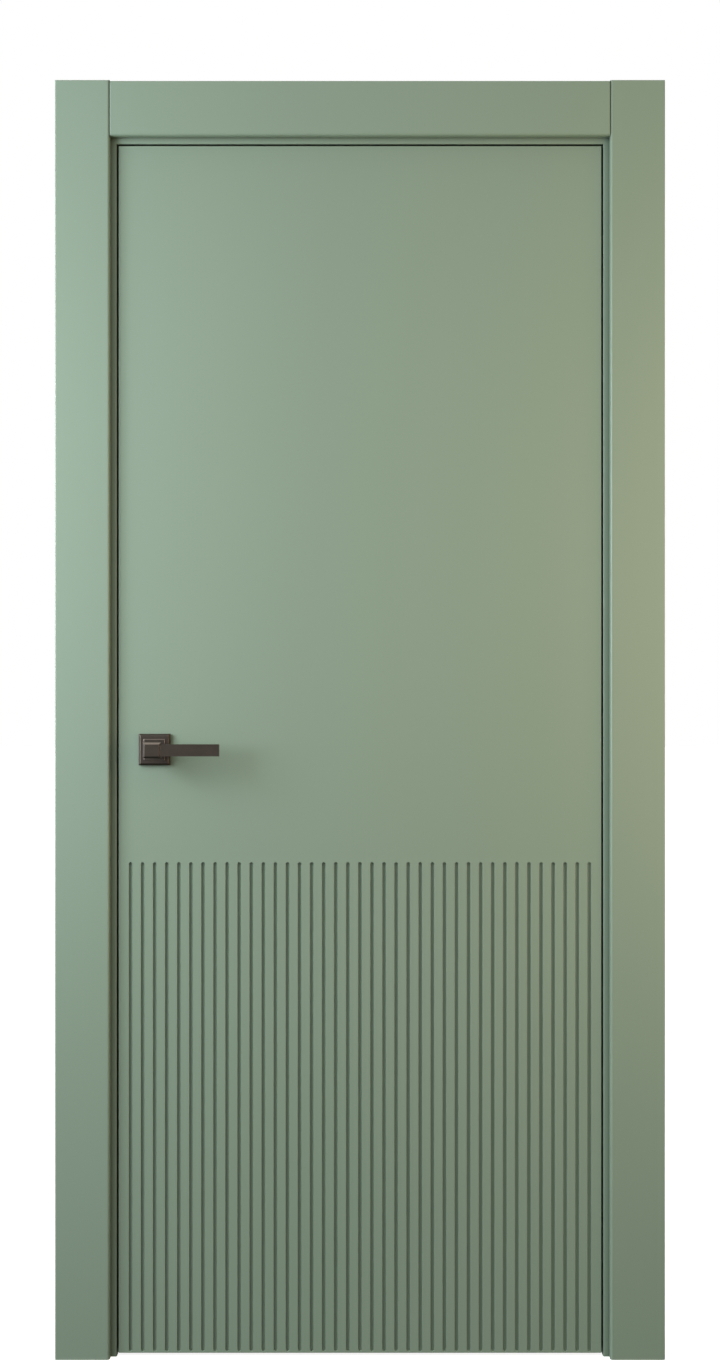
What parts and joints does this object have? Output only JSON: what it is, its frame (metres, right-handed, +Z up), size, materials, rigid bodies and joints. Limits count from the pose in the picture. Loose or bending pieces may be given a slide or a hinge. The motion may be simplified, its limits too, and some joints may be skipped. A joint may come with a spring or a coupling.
{
  "type": "interior door with frame",
  "caption": "Flush interior door leaf with milled grooves in its lower half, hung on concealed hinges in a frame with casings, with a lever handle and a magnetic latch.",
  "frame": {"origin": "middle of the doorway at floor level, halfway through the leaf's thickness", "axes": "+X towards the hinge side, +Y through the wall to the back, +Z up; the leaf opens towards -Y"},
  "size_m": [1.006, 0.156, 2.1105],
  "materials": {
    "enamel": "satin enamel on fibreboard",
    "timber": "planed softwood",
    "chipboard": "pressed chips",
    "satin_metal": "satin",
    "dark_bronze": "satin dark bronze",
    "nylon": "moulded",
    "seal_rubber": "matte"
  },
  "bodies": {
    "frame": {"lock_post": "enamel", "hinge_post": "enamel", "head_jamb": "enamel", "corner_screws": "satin_metal", "lock_side_seal": "seal_rubber", "hinge_side_seal": "seal_rubber", "head_seal": "seal_rubber", "front_casing_left": "enamel", "front_casing_right": "enamel", "front_casing_head": "enamel", "back_casing_left": "enamel", "back_casing_right": "enamel", "back_casing_head": "enamel", "hinge_1_frame_housing": "satin_metal", "hinge_2_frame_housing": "satin_metal", "hinge_3_frame_housing": "satin_metal", "frame_pivot_pins": "satin_metal", "frame_hinge_screws": "satin_metal", "strike_plate": "satin_metal", "strike_box": "nylon", "strike_magnet": "satin_metal", "strike_screws": "satin_metal"},
    "leaf": {"front_skin": "enamel", "back_skin": "enamel", "lock_stile": "timber", "hinge_stile": "timber", "top_rail": "timber", "bottom_rail": "timber", "core_panel": "chipboard", "hinge_1_leaf_housing": "satin_metal", "hinge_2_leaf_housing": "satin_metal", "hinge_3_leaf_housing": "satin_metal", "leaf_pivot_pins": "satin_metal", "leaf_hinge_screws": "satin_metal", "lock_case": "satin_metal", "lock_cover": "satin_metal", "lock_forend": "satin_metal", "forend_screws": "satin_metal", "return_spring": "satin_metal", "front_rosette_base": "nylon", "front_rosette_cover": "dark_bronze", "front_bush": "nylon", "back_rosette_base": "nylon", "back_rosette_cover": "dark_bronze", "back_bush": "nylon", "rosette_bolts": "satin_metal"},
    "frame_arms": {"hinge_1_frame_arm": "satin_metal", "hinge_2_frame_arm": "satin_metal", "hinge_3_frame_arm": "satin_metal", "center_pins": "satin_metal"},
    "leaf_arms": {"hinge_1_leaf_arm": "satin_metal", "hinge_2_leaf_arm": "satin_metal", "hinge_3_leaf_arm": "satin_metal"},
    "handle": {"front_lever": "dark_bronze", "back_lever": "dark_bronze", "spindle": "satin_metal", "follower": "satin_metal", "grub_screws": "satin_metal"},
    "bolt": {"magnetic_bolt": "satin_metal"}
  },
  "joints": [
    {"name": "leaf_swing", "type": "hinge", "parent": "frame", "child": "leaf", "pos_m": [0.4015, -0.022, 1.006], "axis": [0, 0, 1], "range_deg": [0, 100]},
    {"name": "frame_arms_turn", "type": "hinge", "parent": "frame", "child": "frame_arms", "pos_m": [0.4065, -0.008, 1.006], "axis": [0, 0, 1], "range_deg": [0, 100]},
    {"name": "leaf_arms_turn", "type": "hinge", "parent": "leaf", "child": "leaf_arms", "pos_m": [0.3965, -0.008, 1.006], "axis": [0, 0, 1], "range_deg": [-100, 0]},
    {"name": "handle_turn", "type": "hinge", "parent": "leaf", "child": "handle", "pos_m": [-0.34, 0, 1.006], "axis": [0, 1, 0], "range_deg": [0, 40], "stiffness_Nm_per_rad": 1.5, "springref_deg": -34.38, "deforming": ["return_spring"]},
    {"name": "bolt_slide", "type": "slide", "parent": "leaf", "child": "bolt", "axis": [-1, 0, 0], "range_m": [0, 0.01], "stiffness_N_per_m": 60, "springref_m": -0.02}
  ],
  "couplings": [
    {"joint": "frame_arms_turn", "follows": "leaf_swing", "ratio": 1},
    {"joint": "leaf_arms_turn", "follows": "leaf_swing", "ratio": -1}
  ]
}
